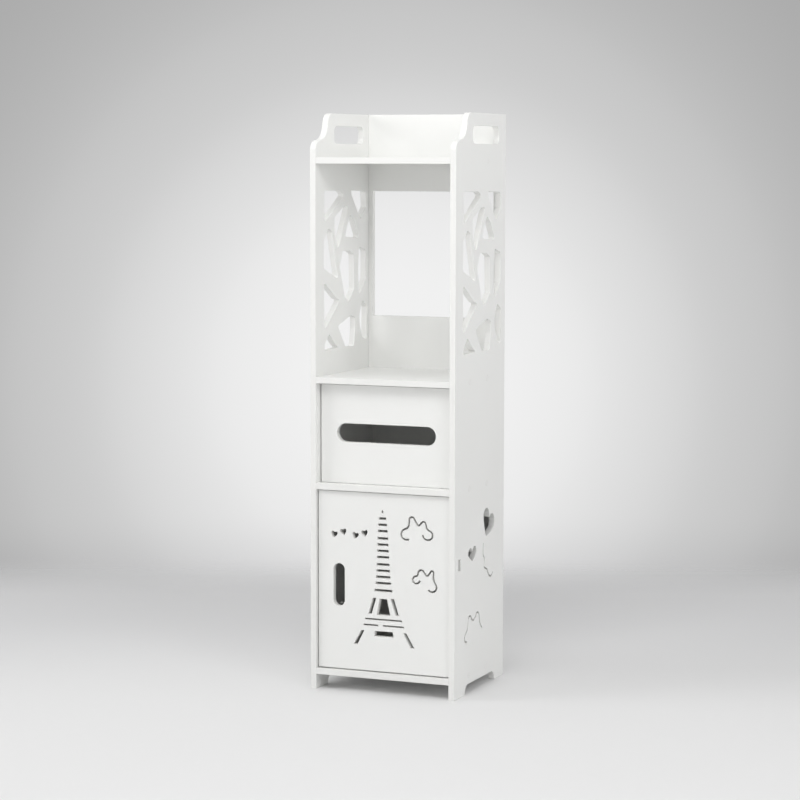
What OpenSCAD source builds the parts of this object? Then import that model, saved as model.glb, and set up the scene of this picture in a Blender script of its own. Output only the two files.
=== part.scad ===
// Tall narrow bathroom cabinet of white board: tray, open bay, drawer and a door with pierced ornament.
// X runs to the right, Y to the back and Z up. The origin is on the floor, under the middle of the cabinet.

/* [Cabinet] */
// Width over the two side panels
cabinet_w = 215; // [200:1:260]
// Depth from the front edges to the back
cabinet_d = 193; // [185:1:240]
// Thickness of every board
board = 8.5; // [7.5:0.5:10]
// Height of the bottom board's underside above the floor
foot_h = 21; // [18:1:40]
// Clear height of the bay behind the door
door_bay_h = 251.5; // [245:0.5:300]
// Clear height of the bay that holds the drawer
drawer_bay_h = 139; // [110:1:180]
// Clear height of the open bay
open_bay_h = 293.5; // [250:0.5:360]
// Height of the tray rim above the top shelf
tray_h = 61; // [58:1:90]

/* [Side panels] */
// Height of the side's front corner above the top shelf
lip_h = 9; // [6:1:16]
// Depth of the ogee that drops from the full height to the front corner
ogee_d = 57; // [50:1:70]
// Length of the hand-hold
hold_w = 103; // [80:1:110]
// Height of the hand-hold
hold_h = 24.5; // [20:0.5:28]
// Corner radius of the hand-hold
hold_r = 9; // [5:0.5:10]
// Distance from the hand-hold to the top edge
hold_top = 17.5; // [14:0.5:22]
// Distance from the hand-hold to the rear edge
hold_rear = 27; // [22:1:30]
// Length of the front foot
front_foot = 41; // [30:1:50]
// Length of the rear foot
rear_foot = 36; // [28:1:45]
// Height of the arch between the feet
arch_h = 13.3; // [10:0.1:16]
// Radius of the arch's corners
arch_r = 12; // [6:0.5:12.5]

/* [Pierced lattice] */
// Distance from the lattice to the front edge
lattice_front = 27; // [20:1:40]
// Distance from the lattice to the rear edge
lattice_rear = 14; // [12:1:25]
// Distance from the lattice down to the middle shelf
lattice_low = 34; // [20:1:50]
// Distance from the lattice up to the top shelf
lattice_high = 37.5; // [20:0.5:50]
// Radius of the openings' corners
lattice_r = 3; // [1.5:0.5:4]

/* [Back board] */
// Width of the stile on each side of the window
stile_w = 6.5; // [6:0.5:20]
// Height of the window's lower edge above the middle shelf
sill_h = 75; // [50:1:100]
// Depth of the rail between the window and the top shelf
head_h = 39.5; // [25:0.5:60]

/* [Door] */
// Distance from the front edges to the door's face
door_recess = 5.5; // [4:0.5:7]
// Gap round the door
door_gap = 1.5; // [1.5:0.1:2]
// Distance from the pivot to the door's hinge edge
pivot_edge = 7; // [6.5:0.5:8]
// Diameter of the pivot pins
pin_d = 4; // [3:0.5:4.5]
// Length of a pivot pin inside the door
pin_seat = 12; // [10:1:20]
// Depth of the pivot holes in the boards above and below
pivot_depth = 5; // [4:0.5:5.5]
// Radial clearance of a pivot pin in its hole
pin_clear = 0.05; // [0.02:0.01:0.1]
// Length of the finger slot
grip_l = 60; // [45:1:70]
// Width of the finger slot
grip_w = 17; // [14:0.5:20]
// Distance from the finger slot's centre to the free edge
grip_inset = 31; // [27:1:35]
// Distance from the door's mid-height down to the finger slot's centre
grip_drop = 6.5; // [0:0.5:20]

/* [Door ornament] */
// Height of the tower's feet above the door's lower edge
tower_foot = 36; // [25:1:50]
// Distance from one slat to the next
slat_pitch = 8.7; // [7:0.1:9]
// Extra distance after every fourth slat
slat_break = 1.5; // [0:0.1:2]
// Height of one slat opening
slat_h = 3.4; // [2.4:0.1:4]
// Height of the slots that mark the tower's two decks
deck_h = 2.3; // [1.6:0.1:3]
// Width of the bridge left in the lower deck's slot
deck_bridge = 7; // [4:0.5:10]
// Width of the router kerf that draws the clouds
kerf = 2.6; // [1.6:0.1:3]
// Width of the hearts in the row
row_heart_w = 9.5; // [7:0.5:11]
// Distance from one heart of the row to the next
row_pitch = 16; // [13:0.5:18]

/* [Side ornament] */
// Width of the large heart
big_heart_w = 46; // [40:0.5:48]
// Width of the small heart
small_heart_w = 32; // [26:0.5:35]

/* [Door stop and catch] */
// Height of the door stop
stop_h = 16; // [12:1:20]
// Distance from the door's lower edge to the stop's centre
stop_level = 153.5; // [140:0.5:160]
// Distance that the stop reaches into the bay
stop_reach = 20; // [16:1:26]
// Gap between the closed door and the stop
stop_gap = 0.5; // [0.3:0.1:1]
// Diameter of the catch magnet
magnet_d = 6; // [4:0.5:8]
// Thickness of the catch magnet
magnet_t = 3; // [2:0.5:4]
// Diameter of the strike plate
strike_d = 10; // [8:0.5:12]
// Thickness of the strike plate
strike_t = 1; // [0.6:0.1:1.5]

/* [Drawer] */
// Distance from the front edges to the drawer's face
drawer_recess = 15; // [10:0.5:20]
// Gap between the drawer and each side panel
drawer_side_gap = 1.5; // [1:0.1:2.5]
// Running gap under the drawer
drawer_lift = 0.4; // [0.3:0.1:1]
// Gap above the drawer's front
drawer_top_gap = 2; // [1:0.1:3]
// Gap behind the closed drawer
drawer_rear_gap = 0.5; // [0.3:0.1:2]
// Height of the drawer's sides and back
drawer_side_h = 105; // [70:1:105]
// Thickness of the drawer's floor
floor_t = 4; // [3:0.5:5]
// Height of the groove for the floor above the lower edges
floor_up = 8; // [6:0.5:12]
// Depth of the groove for the floor
groove = 4; // [3:0.5:4.5]
// Length of the pull slot
pull_l = 147; // [100:1:150]
// Height of the pull slot
pull_h = 26; // [20:0.5:30]
// Distance from the front's mid-height up to the pull slot's centre
pull_rise = 2; // [0:0.5:10]

/* [Fasteners] */
// Distance from the front edge to the front shelf screws
screw_front = 55; // [40:1:65]
// Distance from the rear edge to the rear shelf screws
screw_rear = 70; // [50:1:80]
// Length of a shelf screw
screw_l = 30; // [25:1:40]
// Diameter of a shelf screw's shank
screw_d = 3.5; // [3:0.1:4]
// Diameter of a screw's head
head_d = 7; // [6:0.1:7]
// Height of a screw's countersunk head
head_t = 2; // [1.5:0.1:2.5]
// Diameter of a screw cap
cap_d = 8; // [7.5:0.1:8.4]
// Thickness of a screw cap
cap_t = 1.2; // [0.8:0.1:1.5]
// Radial clearance of a screw in the board that it clamps
screw_clear = 0.2; // [0.1:0.05:0.3]
// Distance between the two screws that hold a shelf to the back board
back_screw_span = 120; // [80:1:160]
// Diameter of the dowels in the drawer
dowel_d = 5; // [4:0.5:5.5]
// Length of the dowels in the drawer
dowel_l = 16; // [12:1:24]
// Depth of a dowel in the drawer's front
dowel_seat = 5; // [4:0.5:5.5]
// Height of the drawer's lower dowels and screws above its lower edge
joint_low = 28; // [20:1:35]
// Height of the drawer's upper dowels and screws above its lower edge
joint_high = 85; // [60:1:95]
// Diameter of the drawer screws
drawer_screw_d = 3; // [2.5:0.1:3.5]
// Length of the drawer screws
drawer_screw_l = 25; // [20:1:35]

/* [Hidden] */

// Cut that runs past a face
past = 1;
// Gap at the end of a pivot pin
pin_gap = 0.3;
// Steps of a small corner and of a larger arc
corner_steps = 4;
arc_steps = 6;

// Planes of the carcass
front_y = -cabinet_d / 2;
rear_y = cabinet_d / 2;
inner_half = cabinet_w / 2 - board;
shelf_d = cabinet_d - board;
bottom_z = foot_h;
divider_z = bottom_z + board + door_bay_h;
middle_z = divider_z + board + drawer_bay_h;
top_z = middle_z + board + open_bay_h;
tray_z = top_z + board;
cabinet_h = tray_z + tray_h;
shelf_levels = [bottom_z, divider_z, middle_z, top_z];

// Door
door_half = inner_half - door_gap;
door_low = bottom_z + board + door_gap;
door_high = divider_z - door_gap;
door_mid = (door_low + door_high) / 2;
door_front = front_y + door_recess;
door_back = door_front + board;
pivot_x = door_half - pivot_edge;
pivot_y = door_front + board / 2;
pin_l = pin_seat + door_gap + pivot_depth - pin_gap;
// Ornament of the door, drawn for a door of this height and scaled with it
drawn_door_h = 248.5;
ornament = (door_high - door_low) / drawn_door_h;

// Door stop and catch
stop_front = door_back + stop_gap;
stop_z = door_low + stop_level;
catch_x = -inner_half + stop_reach - stop_h / 2;

// Drawer
drawer_half = inner_half - drawer_side_gap;
drawer_low = divider_z + board + drawer_lift;
drawer_high = middle_z - drawer_top_gap;
drawer_face = front_y + drawer_recess;
drawer_front_back = drawer_face + board;
drawer_rear = front_y + shelf_d - drawer_rear_gap;
drawer_back_front = drawer_rear - board;
pull_z = (drawer_low + drawer_high) / 2 + pull_rise;
drawer_joints = [drawer_low + joint_low, drawer_low + joint_high];
floor_z = drawer_low + floor_up;

// Fasteners
screw_depths = [screw_front, cabinet_d - screw_rear];

// Ogee from the full height to the front corner: shares of its depth and of the tray's height, and bulges
ogee = [[1, 1, 0.28], [0.745, 0.83, 0], [0.72, 0.73, -0.34], [0.37, 0.4, 0], [0.25, 0.38, 0.41]];

// Half widths of the tower's slats from the top down, and height of the lowest one above the feet
slats = [5.4, 6.6, 7.4, 7.9, 8.2, 8.6, 9, 9.5, 10, 10.7, 11.4, 13.4];
shaft_low = 77.5;
// Finial over the highest slat: its height above it, half width and half height
finial_up = 9.3;
finial = [1.7, 2.7];
// Half width of each deck and its height above the feet, and middle of the bridge in the lower one
decks = [[27.5, 36.6], [30.3, 28.2]];
bridge_x = -4.6;
// Legs, as inner half width, outer half width and height at their lower and upper ends
legs = [[[18, 22.9, 43.7], [10.8, 15.7, 66.7]], [[39.7, 45.4, 0], [29.3, 33.7, 20.1]]];
// Openings between the legs, as half width and height at their lower and upper edges
arches = [[[10.1, 42.8], [5.4, 65.8]], [[14.5, 12.9], [13.2, 20.3]]];
// Sideways lean of the tower for its height, and the height at which it isn't shifted
tower_lean = -0.013;
tower_still = 75;

// Places on the door, measured from its middle and its lower edge
cloud_high = [49.3, 202];
cloud_high_size = [43.5, 31.5];
row_start = [-75, 183];
row_count = 4;
row_step = 4;
row_lean = 12;

// Places on the sides, measured from the front edge and the floor of the door's bay
big_heart = [121.5, 181];
big_heart_size = [big_heart_w, 0.78 * big_heart_w];
big_heart_lean = 27;
small_heart = [69, 153.5];
small_heart_size = [small_heart_w, 0.52 * small_heart_w];
small_heart_lean = -3;

// Corners of the lattice's openings, drawn on a field of this width and height
field = [152, 222];
lattice = [
    [[2, 222], [57, 222], [71, 216], [3, 178]],
    [[96, 222], [146, 220], [148, 198], [129, 180], [96, 216]],
    [[70, 200], [86, 200], [49, 138], [37, 168], [37, 185]],
    [[92, 188], [107, 178], [124, 154], [73, 157], [82, 174]],
    [[17, 170], [28, 165], [50, 98], [0, 115], [1, 155]],
    [[65, 137], [90, 137], [104, 132], [106, 81], [84, 64], [73, 72], [55, 116]],
    [[123, 142], [147, 136], [147, 95], [123, 71], [120, 109]],
    [[1, 96], [44, 71], [57, 69], [2, 28]],
    [[19, 23], [39, 7], [52, 2], [3, 0], [3, 9]],
    [[48, 32], [95, 45], [110, 41], [110, 25], [104, 0], [74, 2], [54, 26]],
    [[137, 64], [151, 55], [150, 7], [136, 11], [127, 26], [124, 41], [131, 60]]
];

// High cloud of the door, open below, on a square of side 1 about its middle: corners and their bulges
high_cloud = [
    [-0.28, -0.48, -1.04], [-0.41, -0.03, 0.35], [-0.26, 0.2, 0], [-0.25, 0.37, -0.95], [-0.08, 0.43, 0],
    [0.03, 0.18, 0.5], [0.11, 0.2, 0], [0.16, 0.28, -0.7], [0.31, 0.24, 0], [0.34, 0.06, 0.2],
    [0.42, -0.04, -1], [0.36, -0.45, -0.35], [0.21, -0.27, 0]
];

// Low cloud of the door, from its middle and its lower edge
low_cloud = [
    [54.1, 130.4, -2.3], [49.8, 137.1, 0], [51.2, 139.5, 0], [51.6, 142.2, -0.75], [60.4, 142.6, 0],
    [63.2, 138.8, 0.5], [66.4, 139, 0], [69.8, 143.6, -0.9], [74.3, 143.2, 0], [74, 136.6, 0],
    [75.1, 131.4, 0], [78.2, 125.8, -0.84], [67.3, 118.1, 0]
];

// Heart: heights of its shoulders and cleft as shares of its height, and bulge of its flanks
shoulder = 0.66;
cleft = 0.8;
flank = 0.12;

// Cloud low on the sides, open below, from the front edge and the floor of the door's bay
side_cloud = [
    [47.5, 43.6, -0.3], [39.4, 48, -0.2], [40, 53.5, 0], [49.6, 60, 0.1], [52.9, 73, -0.8], [65.6, 73.4, 0],
    [72, 70.2, 0.2], [76, 70.4, 0], [83.6, 75.4, -0.7], [95.4, 73.4, 0], [98, 63.4, 0.1], [107.2, 53.9, 0]
];

// Stray curl below the large heart, from the front edge and the floor of the door's bay
curl = [
    [111, 172, 0], [110, 158.5, 0.3], [115.6, 152, 0], [115.2, 139.5, 0.3], [120.2, 136.4, 0],
    [127, 133.4, 0.2], [130.8, 128, 0.2], [136, 123.6, 0.5], [148.2, 126, 0]
];

board_colour = "#f4f4f1";
steel_colour = "#b9bcbf";
cap_colour = "#ecece8";
dowel_colour = "#d9bf94";

// A vector turned by an angle
function turned(v, angle) = [v.x * cos(angle) - v.y * sin(angle), v.x * sin(angle) + v.y * cos(angle)];

// Points after p on the arc from p to q, whose bulge is the tangent of a quarter of its angle
function arc(p, q, bulge, steps) =
    bulge == 0 ? [q] :
    let (
        angle = 4 * atan(bulge), half = (q - p) / 2,
        centre = (p + q) / 2 + [-half.y, half.x] / tan(angle / 2)
    )
    [for (k = [1:steps]) centre + turned(p - centre, angle * k / steps)];

// Points of a closed outline given as corners with bulges
function outline(path, steps) =
    [for (i = [0:len(path) - 1])
        let (p = path[i], q = path[(i + 1) % len(path)])
        each arc([p.x, p.y], [q.x, q.y], p[2], steps)];

// Points of an open line given as corners with bulges
function line(path, steps) = concat(
    [[path[0].x, path[0].y]],
    [for (i = [0:len(path) - 2])
        let (p = path[i], q = path[i + 1])
        each arc([p.x, p.y], [q.x, q.y], p[2], steps)]);

// Direction of a line of points at one of them
function heading(p, i) =
    let (d = p[min(i + 1, len(p) - 1)] - p[max(i - 1, 0)])
    d / norm(d);

// Outline of a band of even width along a line of points, with round ends
function band(p, width) =
    let (last = len(p) - 1, side = [for (i = [0:last]) turned(heading(p, i), 90) * width / 2])
    concat(
        [for (i = [0:last]) p[i] + side[i]],
        [for (a = [45, 90, 135]) p[last] + turned(side[last], -a)],
        [for (i = [last:-1:0]) p[i] - side[i]],
        [for (a = [45, 90, 135]) p[0] - turned(side[0], -a)]);

// Points that round the corner b between a and c
function rounded_corner(a, b, c, r) =
    let (
        u = (a - b) / norm(a - b), v = (c - b) / norm(c - b), half = acos(u * v) / 2,
        reach = min(r / tan(half), 0.45 * norm(a - b), 0.45 * norm(c - b)),
        side = sign(u.y * v.x - u.x * v.y)
    )
    concat([b + u * reach], arc(b + u * reach, b + v * reach, side * tan((90 - half) / 2), corner_steps));

// Closed outline with every corner rounded
function rounded(p, r) =
    let (n = len(p))
    [for (i = [0:n - 1]) each rounded_corner(p[(i + n - 1) % n], p[i], p[(i + 1) % n], r)];

// Heart that stands on its tip
function heart(size) = outline([
    [0, 0, flank], [size.x / 2, shoulder * size.y, 1],
    [0, cleft * size.y, 1], [-size.x / 2, shoulder * size.y, flank]
], arc_steps);

// Points leaned over to the right and moved to their place
function placed(p, at, lean) = [for (q = p) at + turned(q, -lean)];

// Board parallel to the side panels, drawn as depth from the front edge and height, its low x face at x
module side_board(x) {
    translate([x, front_y, 0])
        rotate([90, 0, 90])
            linear_extrude(board) children();
}

// Board that faces the front, drawn as x and height, with its rear face at y
module front_board(y) {
    translate([0, y, 0])
        rotate([90, 0, 0])
            linear_extrude(board) children();
}

// Slot with round ends, lying along x
module slot(length, width) {
    square([length - width, width], center = true);
    for (s = [-1, 1])
        translate([s * (length - width) / 2, 0]) circle(d = width, $fn = 48);
}

// Rectangle with round corners, measured from its low corner
module round_rect(size, r) {
    translate([r, 0]) square([size.x - 2 * r, size.y]);
    translate([0, r]) square([size.x, size.y - 2 * r]);
    for (x = [r, size.x - r], y = [r, size.y - r])
        translate([x, y]) circle(r, $fn = 48);
}

// Outside of a side panel: feet below and an ogee at the front of the tray
module side_outline() {
    curve = [for (p = ogee) [p.x * ogee_d, tray_z + p.y * tray_h, p[2]]];
    polygon(concat(
        [[0, 0], [cabinet_d, 0], [cabinet_d, cabinet_h]],
        line(concat(curve, [[0, tray_z + lip_h, 0]]), arc_steps)));
}

// Arch between the feet
module foot_arch() {
    length = cabinet_d - front_foot - rear_foot;
    translate([front_foot, -arch_h])
        round_rect([length, 2 * arch_h], arch_r);
}

// Openings of the lattice, fitted between the middle and the top shelf
module lattice_openings() {
    low = middle_z + board + lattice_low;
    size = [cabinet_d - lattice_front - lattice_rear, top_z - lattice_high - low];
    for (cell = lattice) {
        corners = [for (c = cell) [c.x * size.x / field.x, c.y * size.y / field.y]];
        translate([lattice_front, low]) polygon(rounded(corners, lattice_r));
    }
}

// Kerf along an open line given as corners with bulges
module kerf_line(path) {
    polygon(band(line(path, arc_steps), kerf));
}

// Hearts, cloud and curl on the lower half of a side panel
module side_ornament() {
    translate([0, bottom_z + board]) {
        polygon(placed(heart(big_heart_size), big_heart, big_heart_lean));
        polygon(placed(heart(small_heart_size), small_heart, small_heart_lean));
        kerf_line(side_cloud);
        kerf_line(curl);
    }
}

// Bores for the shelf screws and their caps, from the outer face at x, where out is the outward direction
module shelf_screw_bores(x, out) {
    for (level = shelf_levels, depth = screw_depths)
        translate([x, front_y + depth, level + board / 2])
            rotate([0, -90 * out, 0]) {
                translate([0, 0, -past]) cylinder(d = cap_d, h = cap_t + past, $fn = 40);
                translate([0, 0, cap_t]) cylinder(d1 = head_d, d2 = screw_d, h = head_t, $fn = 40);
                cylinder(d = screw_d + 2 * screw_clear, h = board + past, $fn = 32);
            }
}

// Side panel with its low x face at x and its outer face on the out side
module side_panel(x, out) {
    color(board_colour)
        difference() {
            side_board(x) difference() {
                side_outline();
                foot_arch();
                translate([cabinet_d - hold_rear - hold_w, cabinet_h - hold_top - hold_h])
                    round_rect([hold_w, hold_h], hold_r);
                lattice_openings();
                side_ornament();
                translate([stop_front - front_y, stop_z - stop_h / 2]) square([board, stop_h]);
            }
            shelf_screw_bores(out * cabinet_w / 2, out);
        }
}

module side_panel_left() { side_panel(-cabinet_w / 2, -1); }
module side_panel_right() { side_panel(inner_half, 1); }

// Countersunk hole through a board, from its face at the origin towards +z
module screw_hole(shank_d) {
    translate([0, 0, -past]) cylinder(d = head_d, h = past, $fn = 40);
    cylinder(d1 = head_d, d2 = shank_d, h = head_t, $fn = 40);
    cylinder(d = shank_d + 2 * screw_clear, h = board + past, $fn = 32);
}

module back_board() {
    sill = middle_z + board + sill_h;
    window = [2 * (inner_half - stile_w), top_z - head_h - sill];
    color(board_colour)
        difference() {
            front_board(rear_y) difference() {
                translate([-inner_half, bottom_z]) square([2 * inner_half, cabinet_h - bottom_z]);
                translate([-window.x / 2, sill]) square(window);
            }
            back_screw_places() screw_hole(screw_d);
        }
}

// Places of the screws that hold the shelves to the back board, with z running forwards into the boards
module back_screw_places() {
    for (level = shelf_levels, s = [-1, 1])
        translate([s * back_screw_span / 2, rear_y, level + board / 2])
            rotate([90, 0, 0]) children();
}

// Shelf with its underside at z, drilled for the screws in its ends and its rear edge
module shelf(z) {
    color(board_colour)
        difference() {
            translate([-inner_half, front_y, z]) cube([2 * inner_half, shelf_d, board]);
            for (s = [-1, 1], depth = screw_depths)
                translate([s * cabinet_w / 2, front_y + depth, z + board / 2])
                    rotate([0, -90 * s, 0]) cylinder(d = screw_d, h = screw_l + cap_t, $fn = 32);
            back_screw_places() cylinder(d = screw_d, h = screw_l, $fn = 32);
        }
}

module top_shelf() { shelf(top_z); }
module middle_shelf() { shelf(middle_z); }

module divider_shelf() {
    color(board_colour)
        difference() {
            shelf(divider_z);
            translate([pivot_x, pivot_y, divider_z - past])
                cylinder(d = pin_d + 2 * pin_clear, h = pivot_depth + past, $fn = 48);
        }
}

module bottom_board() {
    color(board_colour)
        difference() {
            shelf(bottom_z);
            translate([pivot_x, pivot_y, bottom_z + board - pivot_depth])
                cylinder(d = pin_d + 2 * pin_clear, h = pivot_depth + past, $fn = 48);
        }
}

// Countersunk screw with a cross recess, its head's face at the origin and its tip towards +z
module screw(shank_d, length) {
    tip = 1.5 * shank_d;
    point_d = 0.4;
    recess = [head_d * 0.6, 1, 1.2];
    difference() {
        union() {
            cylinder(d1 = head_d, d2 = shank_d, h = head_t, $fn = 40);
            translate([0, 0, head_t]) cylinder(d = shank_d, h = length - head_t - tip, $fn = 32);
            translate([0, 0, length - tip]) cylinder(d1 = shank_d, d2 = point_d, h = tip, $fn = 32);
        }
        for (a = [0, 90])
            rotate([0, 0, a]) cube([recess.x, recess.y, 2 * recess.z], center = true);
    }
}

// Places of the shelf screws' caps on the outer faces, with z running inwards
module shelf_screw_places() {
    for (s = [-1, 1], level = shelf_levels, depth = screw_depths)
        translate([s * cabinet_w / 2, front_y + depth, level + board / 2])
            rotate([0, -90 * s, 0]) children();
}

module shelf_screws() {
    color(steel_colour) shelf_screw_places() translate([0, 0, cap_t]) screw(screw_d, screw_l);
}

module screw_caps() {
    rim = 0.3;
    color(cap_colour) shelf_screw_places() {
        cylinder(d1 = cap_d - 2 * rim, d2 = cap_d, h = rim, $fn = 40);
        translate([0, 0, rim]) cylinder(d = cap_d, h = cap_t - rim, $fn = 40);
    }
}

module back_screws() {
    color(steel_colour) back_screw_places() screw(screw_d, screw_l);
}

// Strip of board through the left side's mortise, which stops the door and carries the magnet
module door_stop() {
    color(board_colour)
        difference() {
            translate([-cabinet_w / 2, stop_front, stop_z - stop_h / 2])
                cube([board + stop_reach, board, stop_h]);
            translate([catch_x, stop_front - past, stop_z])
                rotate([-90, 0, 0]) cylinder(d = magnet_d, h = magnet_t + past, $fn = 40);
        }
}

module catch_magnet() {
    color(steel_colour)
        translate([catch_x, stop_front, stop_z])
            rotate([-90, 0, 0]) cylinder(d = magnet_d, h = magnet_t, $fn = 40);
}

module strike_plate() {
    color(steel_colour)
        translate([catch_x, door_back - strike_t, stop_z])
            rotate([-90, 0, 0]) cylinder(d = strike_d, h = strike_t, $fn = 40);
}

// Outline of the tower given by points, leaned with the rest of it
module tower_cut(points) {
    polygon([for (p = points) [p.x + tower_lean * (p.y - tower_still), p.y]]);
}

// Slot of the tower between two places on the x axis, with its middle at a height
module tower_slot(x, z, h) {
    tower_cut([[x[0], z - h / 2], [x[1], z - h / 2], [x[1], z + h / 2], [x[0], z + h / 2]]);
}

// Tower of slats on splayed legs, drawn up from the middle of its feet
module tower() {
    last = len(slats) - 1;
    shaft_high = shaft_low + last * slat_pitch + floor(len(slats) / 4) * slat_break;
    for (i = [0:last]) {
        z = shaft_high - i * slat_pitch - floor((i + 1) / 4) * slat_break;
        tower_slot([-slats[i], slats[i]], z, slat_h);
    }
    tip = shaft_high + finial_up;
    tower_cut([[0, tip + finial.y], [finial.x, tip], [0, tip - finial.y], [-finial.x, tip]]);
    tower_slot([-decks[0].x, decks[0].x], decks[0].y, deck_h);
    tower_slot([-decks[1].x, bridge_x - deck_bridge / 2], decks[1].y, deck_h);
    tower_slot([bridge_x + deck_bridge / 2, decks[1].x], decks[1].y, deck_h);
    for (leg = legs, s = [-1, 1])
        tower_cut([
            [s * leg[0][0], leg[0][2]], [s * leg[0][1], leg[0][2]],
            [s * leg[1][1], leg[1][2]], [s * leg[1][0], leg[1][2]]
        ]);
    for (a = arches)
        tower_cut([[-a[0].x, a[0].y], [a[0].x, a[0].y], [a[1].x, a[1].y], [-a[1].x, a[1].y]]);
}

// Row of small hearts that lean to and fro
module heart_row() {
    for (i = [0:row_count - 1]) {
        odd = i % 2;
        at = row_start + [i * row_pitch, odd * row_step];
        polygon(placed(heart([row_heart_w, row_heart_w]), at, row_lean * (1 - 2 * odd)));
    }
}

module door_panel() {
    color(board_colour)
        difference() {
            front_board(door_back) difference() {
                translate([-door_half, door_low]) square([2 * door_half, door_high - door_low]);
                translate([-door_half + grip_inset, door_mid - grip_drop]) rotate(90) slot(grip_l, grip_w);
                translate([0, door_low]) scale([ornament, ornament]) {
                    translate([0, tower_foot]) tower();
                    heart_row();
                    kerf_line([for (p = high_cloud) [
                        cloud_high.x + p.x * cloud_high_size.x, cloud_high.y + p.y * cloud_high_size.y, p[2]
                    ]]);
                    kerf_line(low_cloud);
                }
            }
            for (z = [door_low - past, door_high - pin_seat])
                translate([pivot_x, pivot_y, z]) cylinder(d = pin_d, h = pin_seat + past, $fn = 48);
            translate([catch_x, door_back - strike_t, stop_z])
                rotate([-90, 0, 0]) cylinder(d = strike_d, h = strike_t + past, $fn = 40);
        }
}

module door_pin_top() {
    color(steel_colour)
        translate([pivot_x, pivot_y, door_high - pin_seat]) cylinder(d = pin_d, h = pin_l, $fn = 48);
}

module door_pin_bottom() {
    color(steel_colour)
        translate([pivot_x, pivot_y, door_low + pin_seat - pin_l]) cylinder(d = pin_d, h = pin_l, $fn = 48);
}

// Drawer's floor, which also cuts its four grooves
module floor_space() {
    w = 2 * (drawer_half - board + groove);
    d = drawer_back_front - drawer_front_back + 2 * groove;
    translate([-w / 2, drawer_front_back - groove, floor_z]) cube([w, d, floor_t]);
}

// Places of the dowels between the drawer's front and sides, with z running to the back
module dowel_places() {
    for (s = [-1, 1], z = drawer_joints)
        translate([s * (drawer_half - board / 2), drawer_front_back - dowel_seat, z])
            rotate([-90, 0, 0]) children();
}

// Places of the screws through the drawer's back, with z running forwards
module drawer_screw_places() {
    for (s = [-1, 1], z = drawer_joints)
        translate([s * (drawer_half - board / 2), drawer_rear, z])
            rotate([90, 0, 0]) children();
}

module drawer_front() {
    color(board_colour)
        difference() {
            front_board(drawer_front_back) difference() {
                translate([-drawer_half, drawer_low]) square([2 * drawer_half, drawer_high - drawer_low]);
                translate([0, pull_z]) slot(pull_l, pull_h);
            }
            floor_space();
            dowel_places() cylinder(d = dowel_d, h = dowel_l, $fn = 32);
        }
}

// Side of the drawer with its low x face at x
module drawer_side(x) {
    color(board_colour)
        difference() {
            translate([x, drawer_front_back, drawer_low])
                cube([board, drawer_back_front - drawer_front_back, drawer_side_h]);
            floor_space();
            dowel_places() cylinder(d = dowel_d, h = dowel_l, $fn = 32);
            drawer_screw_places() cylinder(d = drawer_screw_d, h = drawer_screw_l, $fn = 32);
        }
}

module drawer_side_left() { drawer_side(-drawer_half); }
module drawer_side_right() { drawer_side(drawer_half - board); }

module drawer_back() {
    color(board_colour)
        difference() {
            translate([-drawer_half, drawer_back_front, drawer_low])
                cube([2 * drawer_half, board, drawer_side_h]);
            floor_space();
            drawer_screw_places() screw_hole(drawer_screw_d);
        }
}

module drawer_floor() {
    color(board_colour) floor_space();
}

module drawer_dowels() {
    color(dowel_colour) dowel_places() cylinder(d = dowel_d, h = dowel_l, $fn = 32);
}

module drawer_screws() {
    color(steel_colour) drawer_screw_places() screw(drawer_screw_d, drawer_screw_l);
}

side_panel_left();
side_panel_right();
back_board();
top_shelf();
middle_shelf();
divider_shelf();
bottom_board();
shelf_screws();
screw_caps();
back_screws();
door_stop();
catch_magnet();
door_panel();
door_pin_top();
door_pin_bottom();
strike_plate();
drawer_front();
drawer_side_left();
drawer_side_right();
drawer_back();
drawer_floor();
drawer_dowels();
drawer_screws();
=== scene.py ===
"""Look of a tall narrow bathroom cabinet of white foamed board.

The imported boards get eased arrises, a satin skin and paler cut edges. Screws, pins, magnet, caps and
dowels get finishes of their own. A pale studio with soft light stands round the cabinet.
"""

import logging
import math
from abc import ABC, abstractmethod
from dataclasses import dataclass
from enum import Enum

import bmesh
import bpy
from mathutils import Euler, Matrix, Vector


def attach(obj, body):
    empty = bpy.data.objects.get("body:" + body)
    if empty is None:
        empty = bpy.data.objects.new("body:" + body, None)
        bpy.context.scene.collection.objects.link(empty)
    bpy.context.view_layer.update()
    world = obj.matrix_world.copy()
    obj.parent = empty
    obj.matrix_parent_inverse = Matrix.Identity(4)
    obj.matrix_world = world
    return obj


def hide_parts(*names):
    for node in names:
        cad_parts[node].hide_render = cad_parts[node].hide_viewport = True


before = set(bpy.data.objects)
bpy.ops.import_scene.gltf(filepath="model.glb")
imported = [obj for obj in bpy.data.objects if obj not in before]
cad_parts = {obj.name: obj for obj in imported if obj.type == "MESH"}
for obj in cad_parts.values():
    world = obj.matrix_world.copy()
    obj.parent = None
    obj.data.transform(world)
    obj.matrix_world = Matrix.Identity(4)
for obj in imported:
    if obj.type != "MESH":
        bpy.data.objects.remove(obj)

log = logging.getLogger("cabinet")

Colour = tuple[float, float, float]
Place = tuple[float, float, float]
Feed = bpy.types.NodeSocket | float | tuple
Sockets = dict[str, bpy.types.NodeSocket]

BACK: Place = (0.0, 1.0, 0.0)
UP: Place = (0.0, 0.0, 1.0)


class Lie(Enum):
    """How a board lies: the direction that its two large faces look in."""

    SIDEWAYS = (1.0, 0.0, 0.0)
    UPRIGHT = (0.0, 1.0, 0.0)
    LEVEL = (0.0, 0.0, 1.0)

    @property
    def vector(self) -> Vector:
        """Unit vector across the board's thickness."""
        return Vector(self.value)


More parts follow.
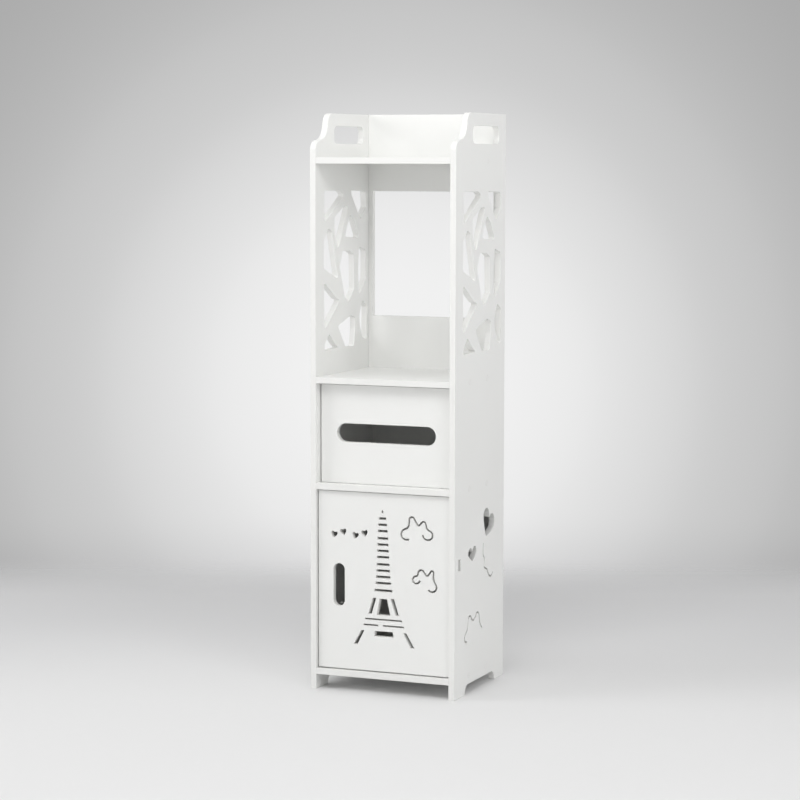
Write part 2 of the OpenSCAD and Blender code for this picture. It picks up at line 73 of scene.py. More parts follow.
class Slot(Enum):
    """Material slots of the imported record."""

    BOARD = "white_board"
    ZINC = "zinc_steel"
    CAP = "white_cap"
    NICKEL = "nickel_magnet"
    BEECH = "beech_dowel"


class Body(Enum):
    """Bodies that pieces ride on."""

    CARCASS = "carcass"
    DOOR = "door"
    DRAWER = "drawer"


class Sketch:
    """A node tree that is filled in with short calls."""

    def __init__(self, tree: bpy.types.NodeTree) -> None:
        """Starts on an existing tree.

        Args:
            tree: The tree that gets the nodes.
        """
        self.tree = tree

    def node(self, kind: str, **settings: object) -> bpy.types.Node:
        """Adds a node.

        Args:
            kind: Type of the node, without the ShaderNode that most types start with.
            **settings: Properties to set on it.

        Returns:
            The new node.
        """
        made = self.tree.nodes.new(kind if kind.startswith("NodeGroup") else "ShaderNode" + kind)
        for name, value in settings.items():
            setattr(made, name, value)
        return made

    def feed(self, socket: bpy.types.NodeSocket, value: Feed) -> None:
        """Links an output to an input, or sets the input to a plain value.

        Args:
            socket: The input.
            value: An output of another node, a number or a vector.
        """
        if isinstance(value, bpy.types.NodeSocket):
            self.tree.links.new(value, socket)
        else:
            socket.default_value = value

    def math(self, operation: str, *values: Feed) -> bpy.types.NodeSocket:
        """Result of a Math node.

        Args:
            operation: Name of the operation.
            *values: Its inputs, as outputs of nodes or numbers.

        Returns:
            The result's socket.
        """
        made = self.node("Math", operation=operation)
        for socket, value in zip(made.inputs, values):
            self.feed(socket, value)
        return made.outputs[0]

    def vector_math(self, operation: str, first: Feed, second: Feed) -> bpy.types.NodeSocket:
        """Result of a Vector Math node.

        Args:
            operation: Name of the operation.
            first: First vector.
            second: Second vector.

        Returns:
            The result's socket: the number of a dot product or length, and the vector of the rest.
        """
        made = self.node("VectorMath", operation=operation)
        self.feed(made.inputs[0], first)
        self.feed(made.inputs[1], second)
        return made.outputs[1 if operation in ("DOT_PRODUCT", "LENGTH") else 0]

    def ramp(
        self, value: Feed, low: float, high: float, start: Feed = 0.0, end: Feed = 1.0
    ) -> bpy.types.NodeSocket:
        """Smooth change from one value to another.

        Args:
            value: The value that drives the change.
            low: Where the change starts.
            high: Where it ends.
            start: Result at and before the start.
            end: Result at and after the end.

        Returns:
            The result's socket.
        """
        made = self.node("MapRange", interpolation_type="SMOOTHSTEP", clamp=True)
        for socket, given in zip(made.inputs[:5], (value, low, high, start, end)):
            self.feed(socket, given)
        return made.outputs[0]

    def noise(
        self, vector: Feed, scale: Feed, detail: float = 3.0, distortion: float = 0.0
    ) -> bpy.types.NodeSocket:
        """Noise read at a place.

        Args:
            vector: Where it is read, in metres.
            scale: How many features it has in a metre.
            detail: How many finer layers it has.
            distortion: How far it is warped.

        Returns:
            The noise, from 0 to 1.
        """
        made = self.node("TexNoise")
        self.feed(made.inputs["Vector"], vector)
        self.feed(made.inputs["Scale"], scale)
        made.inputs["Detail"].default_value = detail
        made.inputs["Distortion"].default_value = distortion
        return made.outputs["Fac"]

    def mix(self, share: Feed, first: Feed, second: Feed, blend: str = "MIX") -> bpy.types.NodeSocket:
        """Mix of two colours.

        Args:
            share: Share of the second colour.
            first: First colour, as a socket or three numbers.
            second: Second colour, likewise.
            blend: How they are mixed.

        Returns:
            The mixed colour's socket.
        """
        made = self.node("Mix", data_type="RGBA", blend_type=blend)
        self.feed(made.inputs[0], share)
        for socket, colour in ((made.inputs[6], first), (made.inputs[7], second)):
            self.feed(socket, (*colour, 1.0) if isinstance(colour, tuple) else colour)
        return made.outputs[2]

    def bump(
        self, height: bpy.types.NodeSocket, rise: float, normal: bpy.types.NodeSocket | None = None
    ) -> bpy.types.NodeSocket:
        """Normal bent by a height.

        Args:
            height: The height, from 0 to 1.
            rise: What a height of 1 stands for, in metres.
            normal: Normal to start from, if not the surface's own.

        Returns:
            The bent normal's socket.
        """
        made = self.node("Bump")
        made.inputs["Distance"].default_value = rise
        self.feed(made.inputs["Height"], height)
        if normal is not None:
            self.feed(made.inputs["Normal"], normal)
        return made.outputs["Normal"]


class Effects:
    """Node groups that several finishes share. Each is built once, when a finish first asks for it."""

    def __init__(self) -> None:
        """Starts with no groups."""
        self._built: dict[str, bpy.types.NodeTree] = {}

    def place(self, sketch: Sketch, name: str, **values: Feed) -> bpy.types.Node:
        """Places a group in a material, with that material's values.

        Args:
            sketch: Sketch of the material.
            name: Name of the group, which is also that of the method that fills it.
            **values: What each input of the group gets.

        Returns:
            The group's node.
        """
        if name not in self._built:
            self._built[name] = bpy.data.node_groups.new(name, "ShaderNodeTree")
            getattr(self, name)(self._built[name])
        made = sketch.node("Group", node_tree=self._built[name])
        for label, value in values.items():
            sketch.feed(made.inputs[label], value)
        return made

    @staticmethod
    def _open(
        tree: bpy.types.NodeTree,
        vectors: tuple[str, ...],
        numbers: dict[str, float],
        results: tuple[str, ...],
    ) -> tuple[Sketch, Sockets, Sockets]:
        """Gives an empty group its sockets.

        Args:
            tree: The group.
            vectors: Names of its vector inputs.
            numbers: Its number inputs and their usual values.
            results: Names of its outputs, which are numbers.

        Returns:
            A sketch on the group, its inputs by name as they are read inside, and its outputs by name.
        """
        for label in vectors:
            tree.interface.new_socket(name=label, in_out="INPUT", socket_type="NodeSocketVector")
        for label, usual in numbers.items():
            socket = tree.interface.new_socket(name=label, in_out="INPUT", socket_type="NodeSocketFloat")
            socket.default_value = usual
        for label in results:
            tree.interface.new_socket(name=label, in_out="OUTPUT", socket_type="NodeSocketFloat")
        sketch = Sketch(tree)
        inside, outside = sketch.node("NodeGroupInput"), sketch.node("NodeGroupOutput")
        given = {label: inside.outputs[label] for label in (*vectors, *numbers)}
        return sketch, given, {label: outside.inputs[label] for label in results}

    def board_faces(self, tree: bpy.types.NodeTree) -> None:
        """Fills a group that tells cut edges and arrises from skin, by where the surface looks.

        Args:
            tree: The group.
        """
        s, given, out = self._open(tree, ("Normal", "Lie"), {}, ("Cut", "Arris"))
        along = s.math("ABSOLUTE", s.vector_math("DOT_PRODUCT", given["Normal"], given["Lie"]))
        s.feed(out["Cut"], s.ramp(along, 0.15, 0.85, 1.0, 0.0))
        between = s.math("MULTIPLY", along, s.math("SUBTRACT", 1.0, along))
        s.feed(out["Arris"], s.ramp(between, 0.03, 0.2))

    def mottle(self, tree: bpy.types.NodeTree) -> None:
        """Fills a group that gives a tone near 1, which wanders over a broad and a fine size.

        Args:
            tree: The group.
        """
        usual = {"Broad": 8.0, "Fine": 400.0, "Depth": 0.02}
        s, given, out = self._open(tree, ("Vector",), usual, ("Tone",))
        broad = s.math("SUBTRACT", s.noise(given["Vector"], given["Broad"], 2.0), 0.5)
        fine = s.math("SUBTRACT", s.noise(given["Vector"], given["Fine"], 4.0), 0.5)
        both = s.math("MULTIPLY_ADD", broad, 1.4, s.math("MULTIPLY", fine, 0.6))
        s.feed(out["Tone"], s.math("MULTIPLY_ADD", both, given["Depth"], 1.0))

    def cutter_marks(self, tree: bpy.types.NodeTree) -> None:
        """Fills a group with a cutter's fine ridges across a board, and the foam's open cells.

        Args:
            tree: The group.
        """
        s, given, out = self._open(tree, ("Vector", "Lie"), {"Pitch": 1800.0}, ("Height", "Cells"))
        across = s.vector_math("MULTIPLY", given["Lie"], (0.95, 0.95, 0.95))
        squeeze = s.vector_math("SUBTRACT", (1.0, 1.0, 1.0), across)
        ridges = s.noise(s.vector_math("MULTIPLY", given["Vector"], squeeze), given["Pitch"], 2.0)
        cells = s.node("TexVoronoi")
        s.feed(cells.inputs["Vector"], given["Vector"])
        s.feed(cells.inputs["Scale"], s.math("MULTIPLY", given["Pitch"], 1.4))
        walls = s.ramp(cells.outputs["Distance"], 0.1, 0.45)
        s.feed(out["Cells"], walls)
        s.feed(out["Height"], s.math("MULTIPLY_ADD", ridges, 0.7, s.math("MULTIPLY", walls, 0.3)))

    def handling(self, tree: bpy.types.NodeTree) -> None:
        """Fills a group with the faint smudges and hairline scratches that handling leaves.

        Args:
            tree: The group.
        """
        s, given, out = self._open(tree, ("Vector",), {"Size": 14.0}, ("Smudge", "Scratch"))
        patches = s.noise(given["Vector"], given["Size"], 5.0, 0.6)
        s.feed(out["Smudge"], s.ramp(patches, 0.48, 0.72))
        lines = s.node("TexVoronoi", feature="DISTANCE_TO_EDGE")
        s.feed(lines.inputs["Vector"], given["Vector"])
        s.feed(lines.inputs["Scale"], s.math("MULTIPLY", given["Size"], 1.7))
        hair = s.ramp(lines.outputs["Distance"], 0.0, 0.006, 1.0, 0.0)
        s.feed(out["Scratch"], s.math("MULTIPLY", hair, s.ramp(patches, 0.55, 0.62)))

    def dust(self, tree: bpy.types.NodeTree) -> None:
        """Fills a group with thin dust on whatever looks up.

        Args:
            tree: The group.
        """
        s, given, out = self._open(tree, ("Vector", "Normal"), {"Grain": 900.0}, ("Mask",))
        up = s.ramp(s.vector_math("DOT_PRODUCT", given["Normal"], UP), 0.5, 0.95)
        specks = s.ramp(s.noise(given["Vector"], given["Grain"], 3.0), 0.45, 0.75)
        s.feed(out["Mask"], s.math("MULTIPLY", up, specks))

    def drawn_grain(self, tree: bpy.types.NodeTree) -> None:
        """Fills a group with grain drawn out along one direction, as in wood or rolled metal.

        Args:
            tree: The group.
        """
        s, given, out = self._open(tree, ("Vector", "Stretch"), {"Fine": 900.0}, ("Grain",))
        drawn = s.vector_math("MULTIPLY", given["Vector"], given["Stretch"])
        s.feed(out["Grain"], s.noise(drawn, given["Fine"], 4.0))


class Finish(ABC):
    """A finish, which can make its material."""

    @abstractmethod
    def make(self, effects: Effects) -> bpy.types.Material:
        """Makes the material.

        Args:
            effects: The shared node groups.

        Returns:
            The new material.
        """

    @staticmethod
    def start(name: str) -> tuple[bpy.types.Material, Sketch, bpy.types.Node]:
        """Makes a material that holds only a Principled shader.

        Args:
            name: Name of the material.

        Returns:
            The material, a sketch on its nodes and the shader.
        """
        made = bpy.data.materials.new(name)
        made.use_nodes = True
        made.node_tree.nodes.clear()
        sketch = Sketch(made.node_tree)
        shader = sketch.node("BsdfPrincipled")
        sketch.feed(sketch.node("OutputMaterial").inputs["Surface"], shader.outputs["BSDF"])
        return made, sketch, shader


@dataclass(frozen=True)
class BoardFinish(Finish):
    """Satin skin of foamed board, with paler and rougher cut edges and slightly rubbed arrises."""

    lie: Lie
    skin: Colour = (0.85, 0.852, 0.836)
    cut: Colour = (0.83, 0.83, 0.812)
    rubbed: Colour = (0.76, 0.755, 0.73)
    dusty: Colour = (0.74, 0.73, 0.7)
    skin_roughness: float = 0.4
    cut_roughness: float = 0.62
    rub_scale: float = 55.0
    pit_share: float = 0.12
    dust_share: float = 0.18
    peel_scale: float = 380.0
    peel_rise: float = 0.00002
    marks_rise: float = 0.00005

    def make(self, effects: Effects) -> bpy.types.Material:
        """Makes the material.

        Args:
            effects: The shared node groups.

        Returns:
            The new material.
        """
        made, s, shader = self.start("foam_board_" + self.lie.name.lower())
        seat = s.node("TexCoord")
        spot, normal = seat.outputs["Object"], seat.outputs["Normal"]
        faces = effects.place(s, "board_faces", Normal=normal, Lie=self.lie.value).outputs
        marks = effects.place(s, "cutter_marks", Vector=spot, Lie=self.lie.value, Pitch=1800.0).outputs
        touch = effects.place(s, "handling", Vector=spot, Size=12.0).outputs
        tone = effects.place(s, "mottle", Vector=spot, Broad=6.0, Fine=420.0, Depth=0.035).outputs["Tone"]
        dust = effects.place(s, "dust", Vector=spot, Normal=normal, Grain=700.0).outputs["Mask"]

        patches = s.ramp(s.noise(spot, self.rub_scale, 4.0), 0.42, 0.66, 0.1, 0.6)
        rub = s.math("MULTIPLY", faces["Arris"], patches)
        pits = s.math("MULTIPLY", faces["Cut"], s.math("SUBTRACT", 1.0, marks["Cells"]))
        colour = s.mix(faces["Cut"], self.skin, self.cut)
        colour = s.mix(s.math("MULTIPLY", pits, self.pit_share), colour, self.rubbed)
        colour = s.mix(rub, colour, self.rubbed)
        colour = s.mix(s.math("MULTIPLY", dust, self.dust_share), colour, self.dusty)
        s.feed(shader.inputs["Base Color"], s.mix(1.0, colour, tone, "MULTIPLY"))

        rough = s.ramp(faces["Cut"], 0.0, 1.0, self.skin_roughness, self.cut_roughness)
        for mask, more in ((touch["Smudge"], 0.07), (touch["Scratch"], 0.12), (dust, 0.15), (rub, 0.1)):
            rough = s.math("MULTIPLY_ADD", mask, more, rough)
        s.feed(shader.inputs["Roughness"], rough)

        skin_share = s.math("SUBTRACT", 1.0, faces["Cut"])
        scored = s.math("MULTIPLY", touch["Scratch"], 0.5)
        peel = s.math("SUBTRACT", s.noise(spot, self.peel_scale, 3.0), scored)
        bent = s.bump(s.math("MULTIPLY", peel, skin_share), self.peel_rise)
        bent = s.bump(s.math("MULTIPLY", marks["Height"], faces["Cut"]), self.marks_rise, bent)
        s.feed(shader.inputs["Normal"], bent)
        return made


@dataclass(frozen=True)
class MetalFinish(Finish):
    """Plated metal with a drawn or turned grain and a few smudges."""

    title: str
    bright: Colour
    dull: Colour
    roughness: float
    stretch: Place = (1.0, 1.0, 1.0)
    grain: float = 1500.0
    grain_rise: float = 0.000008
    roughness_spread: float = 0.16
    smear: float = 0.3

    def make(self, effects: Effects) -> bpy.types.Material:
        """Makes the material.

        Args:
            effects: The shared node groups.

        Returns:
            The new material.
        """
        made, s, shader = self.start(self.title)
        spot = s.node("TexCoord").outputs["Object"]
        drawn = effects.place(s, "drawn_grain", Vector=spot, Stretch=self.stretch, Fine=self.grain)
        grain = drawn.outputs["Grain"]
        touch = effects.place(s, "handling", Vector=spot, Size=90.0).outputs
        worn = s.ramp(s.noise(spot, 260.0, 4.0), 0.35, 0.7)
        colour = s.mix(worn, self.bright, self.dull)
        smeared = s.math("MULTIPLY", touch["Smudge"], self.smear)
        s.feed(shader.inputs["Base Color"], s.mix(smeared, colour, self.dull))
        least = self.roughness - self.roughness_spread / 2
        rough = s.math("MULTIPLY_ADD", grain, self.roughness_spread, least)
        s.feed(shader.inputs["Roughness"], s.math("MULTIPLY_ADD", touch["Smudge"], 0.1, rough))
        s.feed(shader.inputs["Normal"], s.bump(grain, self.grain_rise))
        shader.inputs["Metallic"].default_value = 1.0
        return made


@dataclass(frozen=True)
class CapFinish(Finish):
    """Moulded white plastic, a little glossier than the boards."""

    tint: Colour = (0.84, 0.84, 0.825)
    shade: Colour = (0.79, 0.785, 0.765)
    roughness: float = 0.3
    grain: float = 2600.0
    grain_rise: float = 0.000012

    def make(self, effects: Effects) -> bpy.types.Material:
        """Makes the material.

        Args:
            effects: The shared node groups.

        Returns:
            The new material.
        """
        made, s, shader = self.start("moulded_cap")
        spot = s.node("TexCoord").outputs["Object"]
        touch = effects.place(s, "handling", Vector=spot, Size=70.0).outputs
        mottle = effects.place(s, "mottle", Vector=spot, Broad=90.0, Fine=self.grain, Depth=0.04)
        colour = s.mix(s.math("MULTIPLY", touch["Smudge"], 0.5), self.tint, self.shade)
        s.feed(shader.inputs["Base Color"], s.mix(1.0, colour, mottle.outputs["Tone"], "MULTIPLY"))
        s.feed(shader.inputs["Roughness"], s.math("MULTIPLY_ADD", touch["Smudge"], 0.12, self.roughness))
        s.feed(shader.inputs["Normal"], s.bump(s.noise(spot, self.grain, 3.0), self.grain_rise))
        return made


@dataclass(frozen=True)
class BeechFinish(Finish):
    """Bare beech whose fibres run along the dowels."""

    pale: Colour = (0.72, 0.55, 0.36)
    dark: Colour = (0.55, 0.38, 0.22)
    fleck: Colour = (0.38, 0.24, 0.13)
    stretch: Place = (1.0, 0.06, 1.0)
    ring_scale: float = 420.0
    fibre_scale: float = 2400.0
    fibre_rise: float = 0.00004

    def make(self, effects: Effects) -> bpy.types.Material:
        """Makes the material.

        Args:
            effects: The shared node groups.

        Returns:
            The new material.
        """
        made, s, shader = self.start("bare_beech")
        spot = s.node("TexCoord").outputs["Object"]
        rings, fibres = (
            effects.place(s, "drawn_grain", Vector=spot, Stretch=self.stretch, Fine=fine).outputs["Grain"]
            for fine in (self.ring_scale, self.fibre_scale)
        )
        colour = s.mix(s.ramp(rings, 0.35, 0.65), self.pale, self.dark)
        colour = s.mix(s.ramp(fibres, 0.62, 0.74, 0.0, 0.7), colour, self.fleck)
        s.feed(shader.inputs["Base Color"], colour)
        s.feed(shader.inputs["Roughness"], s.ramp(fibres, 0.3, 0.7, 0.5, 0.7))
        s.feed(shader.inputs["Normal"], s.bump(fibres, self.fibre_rise))
        return made


ZINC = MetalFinish("zinc_plate", (0.66, 0.67, 0.68), (0.5, 0.51, 0.52), 0.34)
NICKEL = MetalFinish("nickel_plate", (0.69, 0.67, 0.63), (0.58, 0.56, 0.52), 0.22, grain=2600.0)


class Paintshop:
    """Keeps one material for each finish, so that pieces of one finish share it."""

    def __init__(self, effects: Effects) -> None:
        """Starts with no materials.

        Args:
            effects: The shared node groups.
        """
        self._effects = effects
        self._made: dict[Finish, bpy.types.Material] = {}

    def coat(self, piece: bpy.types.Object, finish: Finish) -> None:
        """Gives a piece a finish.

        Args:
            piece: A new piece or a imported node.
            finish: The finish.
        """
        if finish not in self._made:
            self._made[finish] = finish.make(self._effects)
        if not piece.material_slots:
            piece.data.materials.append(self._made[finish])
        for held in piece.material_slots:
            held.material = self._made[finish]


def pick(piece: bpy.types.Object) -> None:
    """Selects one object alone and makes it the active one.

    Args:
        piece: The object.
    """
    bpy.ops.object.select_all(action="DESELECT")
    piece.select_set(True)
    bpy.context.view_layer.objects.active = piece


@dataclass
class Board:
    """A board whose arrises are eased, as light sanding leaves them. Lengths are in metres."""

    node: str
    lie: Lie
    body: Body
    ease: float
    steps: int = 2
    merge_within: float = 1e-6
    flat_within: float = math.radians(0.5)
    sharp_from: float = math.radians(60)
    smooth_below: float = math.radians(50)
    across_below: float = 0.1
    along_above: float = 0.99

    def build(self, shop: Paintshop) -> bpy.types.Object:
        """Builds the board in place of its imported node.

        Args:
            shop: Where its finish comes from.

        Returns:
            The new piece.
        """
        board = bpy.data.objects.new("eased_" + self.node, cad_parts[self.node].data.copy())
        bpy.context.scene.collection.objects.link(board)
        pick(board)
        self._merge()
        count = self._ease(board)
        self._smooth(board)
        shop.coat(board, BoardFinish(self.lie))
        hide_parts(self.node)
        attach(board, self.body.value)
        log.info("%s: %d arrises eased, %d faces", board.name, count, len(board.data.polygons))
        return board

    def _merge(self) -> None:
        """Joins the active mesh's loose triangles into whole faces."""
        bpy.ops.mesh.customdata_custom_splitnormals_clear()
        bpy.ops.object.mode_set(mode="EDIT")
        bpy.ops.mesh.select_mode(type="EDGE")
        bpy.ops.mesh.select_all(action="SELECT")
        bpy.ops.mesh.remove_doubles(threshold=self.merge_within)
        bpy.ops.mesh.dissolve_limited(angle_limit=self.flat_within)
        bpy.ops.mesh.select_all(action="DESELECT")

    def _ease(self, board: bpy.types.Object) -> int:
        """Bevels the arrises of a board that is in edit mode, and leaves edit mode.

        Args:
            board: The board.

        Returns:
            How many edges were bevelled.
        """
        mesh = bmesh.from_edit_mesh(board.data)
        arrises = [edge for edge in mesh.edges if self._is_arris(edge)]
        for edge in arrises:
            edge.select_set(True)
        bmesh.update_edit_mesh(board.data)
        count = len(arrises)
        bpy.ops.mesh.bevel(offset=self.ease, segments=self.steps, affect="EDGES", clamp_overlap=False)
        bpy.ops.object.mode_set(mode="OBJECT")
        return count

    def _is_arris(self, edge: bmesh.types.BMEdge) -> bool:
        """Tells whether an edge is one that sanding eases.

        Args:
            edge: An edge of the merged board.

        Returns:
            True for a sharp outer edge round a large face, or a sharp corner across the thickness.
        """
        if len(edge.link_faces) != 2 or not edge.is_convex:
            return False
        first, second = (face.normal for face in edge.link_faces)
        if first.angle(second) < self.sharp_from:
            return False
        lie = self.lie.vector
        cut, skin = sorted((abs(first.dot(lie)), abs(second.dot(lie))))
        along = abs((edge.verts[1].co - edge.verts[0].co).normalized().dot(lie))
        return cut < self.across_below and (skin > self.along_above or along > self.along_above)

    def _smooth(self, board: bpy.types.Object) -> None:
        """Shades the curves of a board smooth and keeps its large faces flat.

        Args:
            board: The board, which is the active object.
        """
        bpy.ops.object.shade_smooth_by_angle(angle=self.smooth_below)
        level = board.modifiers.new("flat_faces", "WEIGHTED_NORMAL")
        level.mode = "FACE_AREA"
        level.weight = 100
        level.keep_sharp = True
        bpy.ops.object.modifier_apply(modifier=level.name)


@dataclass
class SubAssembly:
    """Boards that ride on one body, and small parts that are dressed along with them."""

    body: Body
    boards: dict[str, Lie]
    fittings: dict[str, tuple[Finish, Slot]]
    ease: float = 0.00035

    def build(self, shop: Paintshop) -> list[bpy.types.Object]:
        """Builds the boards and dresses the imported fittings.

        Args:
            shop: Where the finishes come from.

        Returns:
            Every piece of the sub-assembly.
        """
        made = [Board(node, lie, self.body, self.ease).build(shop) for node, lie in self.boards.items()]
        for node, (finish, slot) in self.fittings.items():
            shop.coat(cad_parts[node], finish)
            made.append(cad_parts[node])
            log.info("%s: dressed", node)
        return made


class Carcass(SubAssembly):
    """Sides, back, shelves, their fasteners, and the door's stop with its magnet."""

    def __init__(self) -> None:
        """Lists the carcass's boards and fittings."""
        super().__init__(
            Body.CARCASS,
            {
                "side_panel_left": Lie.SIDEWAYS,
                "side_panel_right": Lie.SIDEWAYS,
                "back_board": Lie.UPRIGHT,
                "top_shelf": Lie.LEVEL,
                "middle_shelf": Lie.LEVEL,
                "divider_shelf": Lie.LEVEL,
                "bottom_board": Lie.LEVEL,
                "door_stop": Lie.UPRIGHT,
            },
            {
                "shelf_screws": (ZINC, Slot.ZINC),
                "back_screws": (ZINC, Slot.ZINC),
                "screw_caps": (CapFinish(), Slot.CAP),
                "catch_magnet": (NICKEL, Slot.NICKEL),
            },
        )


class Door(SubAssembly):
    """Pierced door with its pivot pins and strike plate."""

    def __init__(self) -> None:
        """Lists the door's board and fittings."""
        super().__init__(
            Body.DOOR,
            {"door_panel": Lie.UPRIGHT},
            {
                "door_pin_top": (ZINC, Slot.ZINC),
                "door_pin_bottom": (ZINC, Slot.ZINC),
                "strike_plate": (ZINC, Slot.ZINC),
            },
        )


class Drawer(SubAssembly):
    """Drawer with its dowels and screws."""

    def __init__(self) -> None:
        """Lists the drawer's boards and fittings."""
        super().__init__(
            Body.DRAWER,
            {
                "drawer_front": Lie.UPRIGHT,
                "drawer_side_left": Lie.SIDEWAYS,
                "drawer_side_right": Lie.SIDEWAYS,
                "drawer_back": Lie.UPRIGHT,
            },
            {
                "drawer_floor": (BoardFinish(Lie.LEVEL), Slot.BOARD),
                "drawer_dowels": (BeechFinish(), Slot.BEECH),
                "drawer_screws": (ZINC, Slot.ZINC),
            },
        )


@dataclass(frozen=True)
class Lamp:
    """A square soft box of white light, with its side in metres and its power in watts."""

    name: str
    place: Place
    aim: Place
    side: float
    power: float

    def hang(self) -> bpy.types.Object:
        """Hangs the lamp.

        Returns:
            The lamp's object.
        """
        light = bpy.data.lights.new(self.name, "AREA")
        light.shape = "SQUARE"
        light.size = self.side
        light.energy = self.power
        lamp = bpy.data.objects.new(self.name, light)
        bpy.context.scene.collection.objects.link(lamp)
        lamp.location = self.place
        lamp.rotation_euler = (Vector(self.aim) - Vector(self.place)).to_track_quat("-Z", "Y").to_euler()
        return lamp


@dataclass(frozen=True)
class View:
    """The photograph's viewpoint, with angles in degrees and the lens and sensor in millimetres."""

    eye: Place = (1.30572, -3.18948, 0.73513)
    heading: float = 22.4646
    tilt: float = 5.5446
    roll: float = 0.0981
    lens: float = 111.089
    sensor: float = 36.0

    def direction(self, tilt: float) -> Place:
        """Direction of length 1 along the heading.

        Args:
            tilt: How far down it points, in degrees.

        Returns:
            The direction.
        """
        turned, drop = math.radians(self.heading), math.radians(tilt)
        return (-math.sin(turned) * math.cos(drop), math.cos(turned) * math.cos(drop), -math.sin(drop))

    def aim(self) -> bpy.types.Object:
        """Sets up the camera.

        Returns:
            The camera's object.
        """
        data = bpy.data.cameras.new("camera")
        data.sensor_width = self.sensor
        data.lens = self.lens
        camera = bpy.data.objects.new("camera", data)
        bpy.context.scene.collection.objects.link(camera)
        turn = Euler((math.radians(90.0 - self.tilt), 0.0, math.radians(self.heading))).to_matrix().to_4x4()
        stand = Matrix.Translation(self.eye) @ turn
        camera.matrix_world = stand @ Matrix.Rotation(math.radians(self.roll), 4, "Z")
        bpy.context.scene.camera = camera
        return camera


@dataclass(frozen=True)
class FloorFinish(Finish):
    """Pale floor with painted shade that darkens it behind the cabinet, where the light falls off; it fades
    out far behind it and at its rim.
    """

    rim: float
    away: Place
    # near and far: the floor's colour in front of the cabinet and behind it, where far is painted shade for
    # light falling off
    near: Colour = (0.81, 0.81, 0.81)
    far: Colour = (0.72, 0.72, 0.725)
    painted_shade_from: float = -0.15
    painted_shade_to: float = 0.53
    edge_from: float = 0.68
    edge_to: float = 1.12
    rim_fade: float = 0.5
    roughness: float = 0.65
    gloss: float = 0.2

    def make(self, effects: Effects) -> bpy.types.Material:
        """Makes the material.

        Args:
            effects: The shared node groups.

        Returns:
            The new material.
        """
        made, s, shader = self.start("studio_floor")
        spot = s.node("TexCoord").outputs["Object"]
        tone = effects.place(s, "mottle", Vector=spot, Broad=2.0, Fine=60.0, Depth=0.02).outputs["Tone"]
        depth = s.vector_math("DOT_PRODUCT", spot, self.away)
        # Painted shade: the colour darkens from near to far along the view's heading, in place of light
        # falling off behind the cabinet
        paint = s.mix(s.ramp(depth, self.painted_shade_from, self.painted_shade_to), self.near, self.far)
        s.feed(shader.inputs["Base Color"], s.mix(1.0, paint, tone, "MULTIPLY"))
        shader.inputs["Roughness"].default_value = self.roughness
        shader.inputs["Specular IOR Level"].default_value = self.gloss
        behind = s.ramp(depth, self.edge_from, self.edge_to, 1.0, 0.0)
        outward = s.vector_math("LENGTH", spot, (0.0, 0.0, 0.0))
        round_edge = s.ramp(outward, self.rim - self.rim_fade, self.rim, 1.0, 0.0)
        s.feed(shader.inputs["Alpha"], s.math("MULTIPLY", behind, round_edge))
        return made


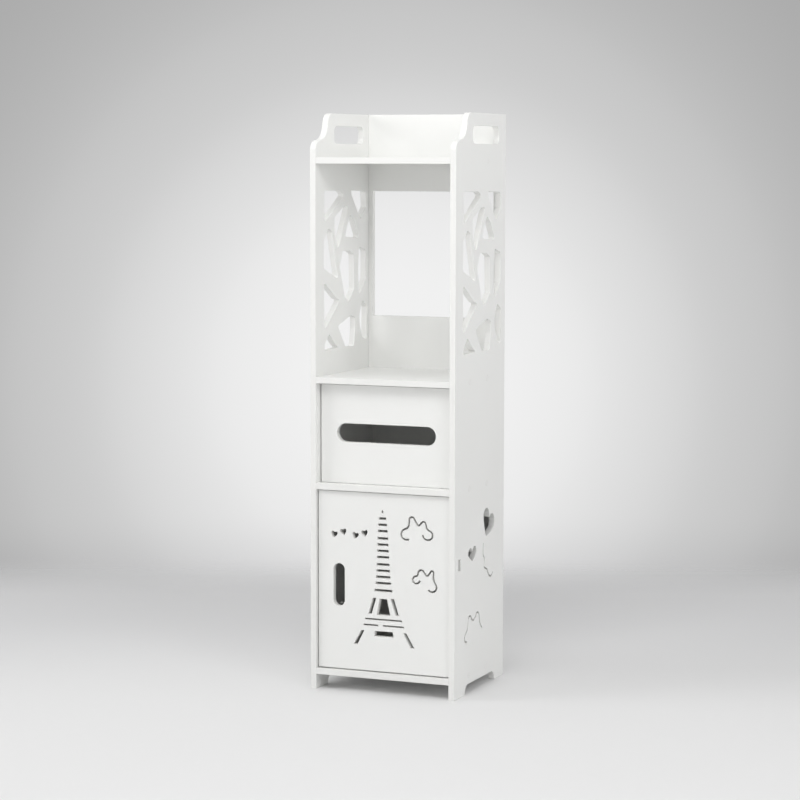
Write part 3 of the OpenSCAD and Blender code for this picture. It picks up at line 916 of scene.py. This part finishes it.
@dataclass(frozen=True)
class Backdrop:
    """World with a soft glow behind the cabinet to look at, and soft light of its own for the surfaces.

    The glow's tones are given by degrees from its middle, which lies a little above the view's. It dims
    from one height to another, where a height is the upward part of a direction of length 1.
    """

    lift: float = 0.46
    reach: float = 20.0
    tones: tuple[tuple[float, float], ...] = (
        (0.0, 0.875),
        (2.6, 0.868),
        (4.6, 0.79),
        (6.9, 0.645),
        (9.2, 0.53),
        (12.3, 0.42),
        (20.0, 0.43),
    )
    dim_above: float = -0.14
    dim_below: float = -0.17
    dimmed: Colour = (0.91, 0.91, 0.915)
    back_light: float = 0.47
    low_light: float = 0.74

    def paint(self, view: View) -> bpy.types.World:
        """Makes the world and gives it to the scene.

        Camera, glossy and transmission rays see the glow, and all other rays the light.

        Args:
            view: The viewpoint that the glow is seen from.

        Returns:
            The world.
        """
        world = bpy.data.worlds.new("studio")
        bpy.context.scene.world = world
        world.use_nodes = True
        world.node_tree.nodes.clear()
        s = Sketch(world.node_tree)
        way = s.node("TexCoord").outputs["Generated"]
        parts = s.node("SeparateXYZ")
        s.feed(parts.inputs[0], way)
        picture, light = s.node("Background"), s.node("Background")
        s.feed(picture.inputs["Color"], self._glow(s, way, parts.outputs["Z"], view))
        s.feed(light.inputs["Color"], (1.0, 1.0, 1.0, 1.0))
        s.feed(light.inputs["Strength"], self._strength(s, way, parts.outputs["Z"]))
        ray = s.node("LightPath").outputs
        shown = s.math("MAXIMUM", ray["Is Camera Ray"], ray["Is Glossy Ray"])
        shown = s.math("MAXIMUM", shown, ray["Is Transmission Ray"])
        both = s.node("MixShader")
        for socket, value in zip(both.inputs, (shown, light.outputs[0], picture.outputs[0])):
            s.feed(socket, value)
        s.feed(s.node("OutputWorld").inputs["Surface"], both.outputs[0])
        return world

    def _glow(self, s: Sketch, way: Feed, height: Feed, view: View) -> bpy.types.NodeSocket:
        """Colour of the glow, which falls off round its middle and dims towards the floor.

        Args:
            s: Sketch of the world.
            way: The direction looked in.
            height: Its upward part.
            view: The viewpoint that the glow is seen from.

        Returns:
            The colour's socket.
        """
        middle = view.direction(view.tilt - self.lift)
        angle = s.math("ARCCOSINE", s.vector_math("DOT_PRODUCT", way, middle))
        glow = s.node("ValToRGB")
        glow.color_ramp.interpolation = "CARDINAL"
        while len(glow.color_ramp.elements) < len(self.tones):
            glow.color_ramp.elements.new(0.5)
        for element, (degrees, tone) in zip(glow.color_ramp.elements, self.tones):
            element.position = degrees / self.reach
            element.color = (tone, tone, tone, 1.0)
        s.feed(glow.inputs["Fac"], s.math("DIVIDE", angle, math.radians(self.reach)))
        low = s.mix(1.0, glow.outputs["Color"], self.dimmed, "MULTIPLY")
        return s.mix(s.ramp(height, self.dim_below, self.dim_above, 1.0, 0.0), glow.outputs["Color"], low)

    def _strength(self, s: Sketch, way: Feed, height: Feed) -> bpy.types.NodeSocket:
        """Strength of the light, which grows towards the back of the cabinet and towards the horizon.

        Args:
            s: Sketch of the world.
            way: The direction that the light comes from.
            height: Its upward part.

        Returns:
            The strength's socket.
        """
        backward = s.vector_math("DOT_PRODUCT", way, BACK)
        behind = s.ramp(backward, -1.0, 1.0, 0.0, self.back_light)
        around = s.ramp(height, 0.0, 1.0, self.low_light, 0.0)
        return s.math("ADD", behind, around)


@dataclass
class Studio:
    """Camera, floor, backdrop and lamps round the cabinet. Lengths are in metres."""

    effects: Effects
    view: View = View()
    backdrop: Backdrop = Backdrop()
    rim: float = 1.7
    floor_sides: int = 96
    lamps: tuple[Lamp, ...] = (
        Lamp("front", (0.25, -1.35, 2.0), (0.0, 0.0, 0.5), 0.9, 12.8),
        Lamp("left", (-2.6, -1.6, 1.7), (0.0, 0.0, 0.45), 1.6, 28.0),
        Lamp("right", (1.7, -1.3, 1.6), (0.0, 0.0, 0.5), 0.9, 9.6),
        Lamp("top", (0.0, -0.4, 2.9), (0.0, 0.0, 0.4), 1.6, 12.0),
    )

    def build(self) -> None:
        """Sets up the whole studio."""
        self.view.aim()
        self._lay_floor()
        self.backdrop.paint(self.view)
        for lamp in self.lamps:
            lamp.hang()
            log.info("lamp %s: %.0f W", lamp.name, lamp.power)
        bpy.context.scene.view_settings.view_transform = "Standard"

    def _lay_floor(self) -> None:
        """Lays a round floor under the cabinet."""
        bpy.ops.object.select_all(action="DESELECT")
        bpy.ops.mesh.primitive_circle_add(vertices=self.floor_sides, radius=self.rim, fill_type="NGON")
        floor = bpy.context.object
        floor.name = "studio_floor"
        finish = FloorFinish(self.rim, self.view.direction(0.0))
        floor.data.materials.append(finish.make(self.effects))


def main() -> None:
    """Builds the cabinet and its studio, and writes how many pieces it has."""
    logging.basicConfig(level=logging.INFO, format="%(name)s: %(message)s")
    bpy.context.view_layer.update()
    effects = Effects()
    shop = Paintshop(effects)
    Studio(effects).build()
    pieces = [piece for part in (Carcass(), Door(), Drawer()) for piece in part.build(shop)]
    log.info("%d pieces", len(pieces))


if __name__ == "__main__":
    main()
